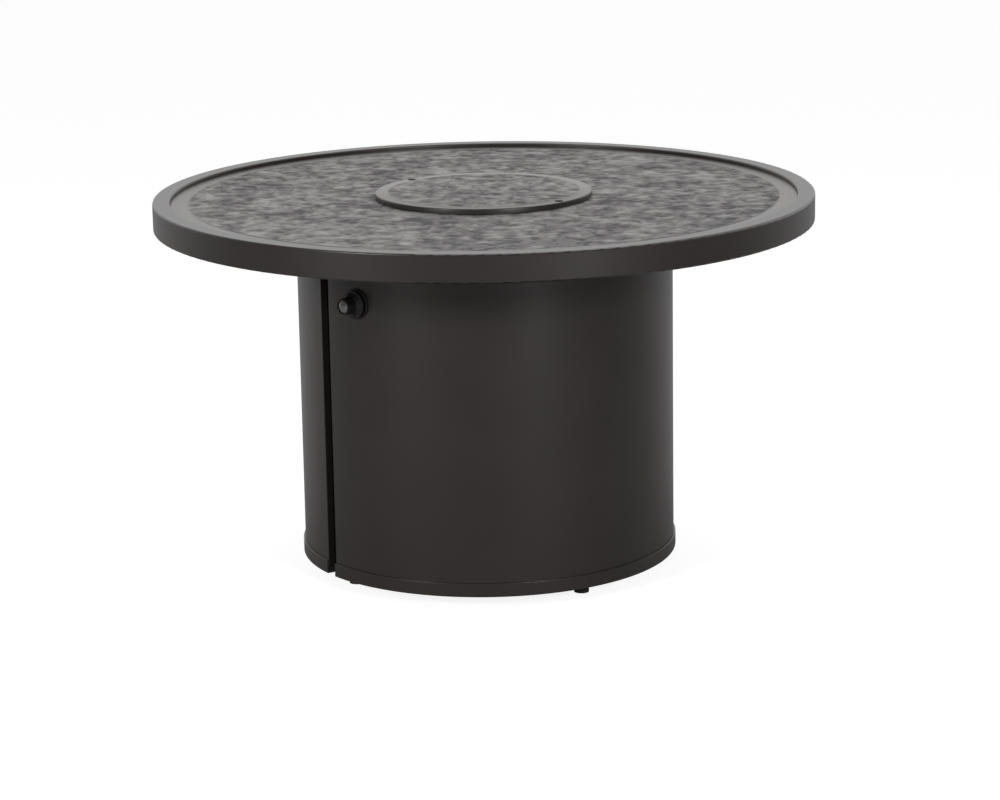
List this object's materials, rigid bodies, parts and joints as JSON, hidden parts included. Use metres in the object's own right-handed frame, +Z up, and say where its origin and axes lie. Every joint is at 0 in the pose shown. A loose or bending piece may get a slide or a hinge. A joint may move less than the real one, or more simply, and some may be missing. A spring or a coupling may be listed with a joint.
{
  "type": "round fire pit table",
  "caption": "Round garden fire pit table: framed slate-relief top with a lift-off burner cover on a sheet metal drum with a hinged door and a gas knob.",
  "frame": {"origin": "on the floor, at the drum's vertical axis", "axes": "+Z up; the access door is centred on -X; the knob is at 240 degrees from +X towards +Y"},
  "size_m": [1.067, 1.067, 0.6141],
  "materials": {
    "bronze_powder_coat": "satin dark bronze powder coat",
    "slate_relief": "embossed slate relief, stained and sealed",
    "black_steel": "semi-matt black paint",
    "stainless": "brushed",
    "zinc_plate": "bright zinc plate",
    "brass": "machined",
    "foot_rubber": "moulded",
    "ceramic": "fired, unglazed",
    "lava_stone": "rough, porous",
    "black_plastic": "moulded, fine texture",
    "bright_cap": "pressed and polished"
  },
  "bodies": {
    "table": {"rim_frame": "bronze_powder_coat", "slate_panel": "slate_relief", "support_arms": "black_steel", "rim_screws": "zinc_plate", "frame_bolts": "zinc_plate", "frame_nuts": "zinc_plate", "drum_shell": "bronze_powder_coat", "drum_flange": "black_steel", "base_band": "bronze_powder_coat", "latch_jamb": "black_steel", "hinge_jamb": "black_steel", "base_plate": "black_steel", "tank_ring": "black_steel", "foot_bushes": "zinc_plate", "hinge_fixed_leaves": "black_steel", "hinge_pins": "zinc_plate", "hinge_rivets": "zinc_plate", "magnet_catches": "black_plastic", "burner_pan": "stainless", "pan_studs": "zinc_plate", "pan_nuts": "zinc_plate", "burner_ring": "stainless", "burner_nuts": "brass", "burner_elbow": "brass", "air_mixer": "stainless", "gas_jet": "brass", "gas_pipe": "stainless", "pipe_nuts": "brass", "valve_body": "brass", "gas_inlet": "brass", "valve_plate": "black_steel", "valve_nut": "zinc_plate", "knob_bezel": "black_plastic", "electrode_insulator": "ceramic", "electrode_pin": "stainless", "heat_shield": "stainless", "shield_hangers": "zinc_plate", "shield_nuts": "zinc_plate", "lava_rocks": "lava_stone"},
    "door": {"door_panel": "bronze_powder_coat", "door_band": "bronze_powder_coat", "door_frame": "bronze_powder_coat", "hinge_door_leaves": "black_steel", "door_rivets": "zinc_plate", "strike_plates": "zinc_plate"},
    "burner_cover": {"cover_plate": "slate_relief", "cover_guides": "stainless"},
    "valve_shaft": {"valve_stem": "stainless"},
    "knob": {"control_knob": "black_plastic", "knob_cap": "bright_cap"},
    "foot_1": {"leveller_stem_1": "zinc_plate", "leveller_pad_1": "foot_rubber"},
    "foot_2": {"leveller_stem_2": "zinc_plate", "leveller_pad_2": "foot_rubber"},
    "foot_3": {"leveller_stem_3": "zinc_plate", "leveller_pad_3": "foot_rubber"},
    "foot_4": {"leveller_stem_4": "zinc_plate", "leveller_pad_4": "foot_rubber"}
  },
  "joints": [
    {"name": "door_swing", "type": "hinge", "parent": "table", "child": "door", "pos_m": [-0.21264, 0.22475, 0.29], "axis": [0, 0, -1], "range_deg": [0, 110]},
    {"name": "cover_lift", "type": "slide", "parent": "table", "child": "burner_cover", "axis": [0, 0, 1], "range_m": [0, 0.3]},
    {"name": "valve_turn", "type": "hinge", "parent": "table", "child": "valve_shaft", "pos_m": [-0.15, -0.25981, 0.4775], "axis": [-0.5, -0.866, 0], "range_deg": [0, 180]},
    {"name": "knob_push", "type": "slide", "parent": "valve_shaft", "child": "knob", "axis": [0.5, 0.866, 0], "range_m": [0, 0.003], "stiffness_N_per_m": 1500, "springref_m": -0.002},
    {"name": "foot_1_screw", "type": "slide", "parent": "table", "child": "foot_1", "axis": [0, 0, -1], "range_m": [0, 0.012]},
    {"name": "foot_2_screw", "type": "slide", "parent": "table", "child": "foot_2", "axis": [0, 0, -1], "range_m": [0, 0.012]},
    {"name": "foot_3_screw", "type": "slide", "parent": "table", "child": "foot_3", "axis": [0, 0, -1], "range_m": [0, 0.012]},
    {"name": "foot_4_screw", "type": "slide", "parent": "table", "child": "foot_4", "axis": [0, 0, -1], "range_m": [0, 0.012]}
  ]
}
